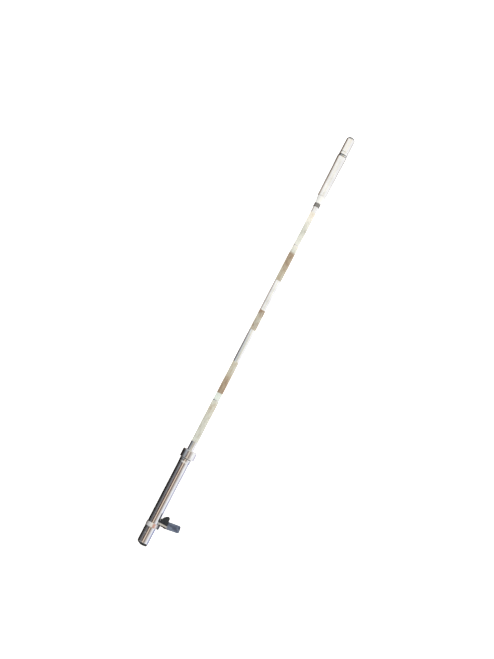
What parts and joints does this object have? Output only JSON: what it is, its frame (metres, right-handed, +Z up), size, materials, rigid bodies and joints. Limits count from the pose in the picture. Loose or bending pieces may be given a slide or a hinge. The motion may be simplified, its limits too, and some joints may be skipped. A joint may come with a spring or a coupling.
{
  "type": "avalanche probe",
  "caption": "Sectional snow probe: tube handle with pull-out tension knob, side cam lever and lock collar, shaft on spigot joints with matte mark sleeves, and a wider head with a round nose.",
  "frame": {"origin": "centre of the butt's end face", "axes": "+X along the probe from the butt to the nose, +Z up as it lies on the ground, the lever stands out towards -Y"},
  "size_m": [0.907, 0.0673, 0.0288],
  "materials": {
    "polished_steel": "polished, mirror-like",
    "polished_collar": "polished, mirror-like",
    "satin_band": "satin, slightly warm",
    "polished_shaft": "polished",
    "mark_sleeve": "matte, stained khaki and brown",
    "black_rubber": "matte",
    "gloss_black": "glossy",
    "block_black": "fine satin",
    "blade_grey": "satin blue-grey over steel",
    "inner_aluminium": "machined",
    "steel": "turned",
    "brass": "turned",
    "nylon": "moulded",
    "wire_rope": "stranded"
  },
  "bodies": {
    "handle": {"handle_tube": "polished_steel", "guide_bush": "nylon", "lever_band": "satin_band", "band_set_screw": "steel", "lever_pin": "steel", "pin_clip": "steel", "shaft_seat": "nylon", "shaft_foot": "inner_aluminium", "collar_adapter": "inner_aluminium", "collar_seal": "black_rubber", "collet": "nylon", "shaft_section_1": "polished_shaft", "mark_sleeve_1": "mark_sleeve", "joint_spigot_1": "inner_aluminium", "tension_cable": "wire_rope"},
    "knob": {"butt_plug": "black_rubber", "pull_knob": "polished_steel", "knob_hub": "inner_aluminium", "knob_screw": "steel", "rear_plug": "inner_aluminium", "tension_tube": "inner_aluminium", "cable_carrier": "brass", "rear_ferrule": "steel"},
    "lever": {"lever_blade": "blade_grey", "lever_block": "block_black", "block_rivets": "steel", "lever_washer": "nylon"},
    "brake": {"brake_shoe": "brass"},
    "collar": {"lock_collar": "polished_collar"},
    "section_2": {"shaft_section_2": "polished_shaft", "mark_sleeve_2_lower": "mark_sleeve", "mark_sleeve_2_middle": "mark_sleeve", "mark_sleeve_2_upper": "mark_sleeve", "joint_spigot_2": "inner_aluminium"},
    "head": {"shaft_section_3": "polished_shaft", "mark_sleeve_3": "mark_sleeve", "neck_ring": "gloss_black", "head_adapter": "polished_steel", "head_tube": "polished_steel", "head_seal": "black_rubber", "nose": "polished_steel", "nose_cap": "black_rubber", "cable_anchor": "brass", "front_ferrule": "steel"}
  },
  "joints": [
    {"name": "lever_swing", "type": "hinge", "parent": "handle", "child": "lever", "pos_m": [0.0558, -0.0136, 0], "axis": [-1, 0, 0], "range_deg": [0, 90]},
    {"name": "brake_press", "type": "slide", "parent": "handle", "child": "brake", "axis": [0, 1, 0], "range_m": [0, 0.0005]},
    {"name": "knob_pull", "type": "slide", "parent": "handle", "child": "knob", "axis": [-1, 0, 0], "range_m": [0, 0.06]},
    {"name": "collar_turn", "type": "hinge", "parent": "handle", "child": "collar", "pos_m": [0.1935, 0, 0], "axis": [1, 0, 0], "range_deg": [0, 360]},
    {"name": "section_2_pull", "type": "slide", "parent": "handle", "child": "section_2", "axis": [1, 0, 0], "range_m": [0, 0.035]},
    {"name": "head_pull", "type": "slide", "parent": "section_2", "child": "head", "axis": [1, 0, 0], "range_m": [0, 0.035]}
  ],
  "couplings": [
    {"joint": "brake_press", "follows": "lever_swing", "m_per_rad": 0.00031831}
  ]
}
